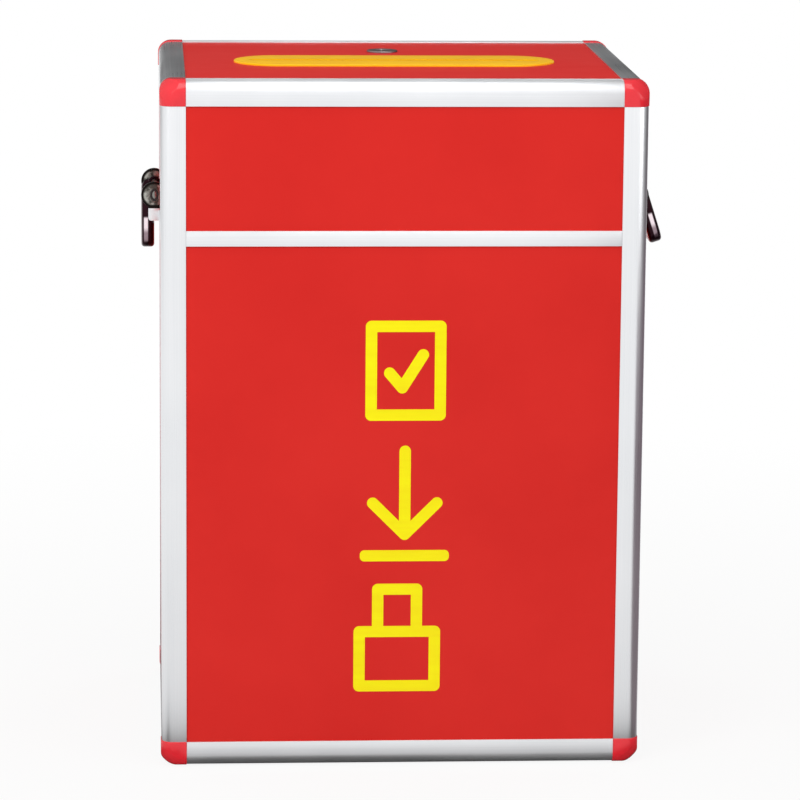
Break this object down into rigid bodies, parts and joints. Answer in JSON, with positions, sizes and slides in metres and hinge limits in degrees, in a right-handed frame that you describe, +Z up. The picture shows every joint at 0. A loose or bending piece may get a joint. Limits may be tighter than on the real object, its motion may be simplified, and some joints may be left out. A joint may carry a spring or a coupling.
{
  "type": "ballot box",
  "caption": "Free-standing ballot box with aluminium edge rails, red panels, slotted top with lockable shutter, drop handles and locking rear door.",
  "frame": {"origin": "on the floor, under the middle of the box's frame, midway between its four lower ball corners", "axes": "+X to the right seen from the front, +Y from the front to the rear door, +Z up"},
  "size_m": [0.4674, 0.3664, 0.6052],
  "materials": {
    "rails": "satin, bright anodised extrusion",
    "corners": "glossy moulded plastic",
    "panels": "smooth satin board",
    "slot_plate": "smooth moulded plastic",
    "inner_plastic": "plain moulded plastic",
    "sheet_metal": "plain sheet",
    "handles": "polished plating",
    "locks": "polished plating",
    "hinge": "brushed",
    "fasteners": "zinc plated"
  },
  "bodies": {
    "root": {"bottom_ball_corners": "corners", "bottom_front_rail": "rails", "bottom_left_rail": "rails", "bottom_panel": "panels", "bottom_rear_rail": "rails", "bottom_right_rail": "rails", "front_left_post": "rails", "front_lower_panel": "panels", "front_mid_rail": "rails", "front_right_post": "rails", "front_upper_panel": "panels", "handle_brackets": "handles", "handle_pivot_pins": "handles", "hinge_frame_leaf": "hinge", "hinge_pin": "hinge", "left_lower_panel": "panels", "left_mid_rail": "rails", "left_upper_panel": "panels", "rear_left_post": "rails", "rear_mid_rail": "rails", "rear_right_post": "rails", "rear_upper_panel": "panels", "right_lower_panel": "panels", "right_mid_rail": "rails", "right_upper_panel": "panels", "slot_plate": "slot_plate", "slot_retainer": "inner_plastic", "top_ball_corners": "corners", "top_front_rail": "rails", "top_left_rail": "rails", "top_lock_barrel": "locks", "top_lock_clip": "fasteners", "top_panel": "panels", "top_rear_rail": "rails", "top_right_rail": "rails"},
    "door": {"door_panel": "panels", "door_frame": "rails", "hinge_door_leaf": "hinge", "door_lock_barrel": "locks", "door_lock_clip": "fasteners"},
    "door_lock": {"door_lock_plug": "locks", "door_lock_cam": "fasteners"},
    "top_lock": {"top_lock_plug": "locks", "top_lock_crank": "fasteners"},
    "shutter": {"slot_shutter": "sheet_metal"},
    "left_bail": {"left_handle_bail": "handles"},
    "right_bail": {"right_handle_bail": "handles"}
  },
  "joints": [
    {"name": "door_hinge", "type": "hinge", "parent": "root", "child": "door", "pos_m": [0.187, 0.1832, 0.242], "axis": [0, 0, -1], "range_deg": [0, 170]},
    {"name": "door_lock_turn", "type": "hinge", "parent": "door", "child": "door_lock", "pos_m": [-0.151, 0.1799, 0.24225], "axis": [0, 1, 0], "range_deg": [0, 90]},
    {"name": "top_lock_turn", "type": "hinge", "parent": "root", "child": "top_lock", "pos_m": [-0.006, 0.08, 0.6032], "axis": [0, 0, 1], "range_deg": [0, 90]},
    {"name": "shutter_slide", "type": "slide", "parent": "root", "child": "shutter", "axis": [0, -1, 0], "range_m": [0, 0.01838]},
    {"name": "left_bail_swing", "type": "hinge", "parent": "root", "child": "left_bail", "pos_m": [-0.2147, 0, 0.4886], "axis": [0, 1, 0], "range_deg": [0, 95]},
    {"name": "right_bail_swing", "type": "hinge", "parent": "root", "child": "right_bail", "pos_m": [0.2147, 0, 0.4886], "axis": [0, -1, 0], "range_deg": [-18, 77]}
  ],
  "couplings": [
    {"joint": "top_lock_turn", "follows": "shutter_slide", "rad_per_m": 85.44}
  ]
}
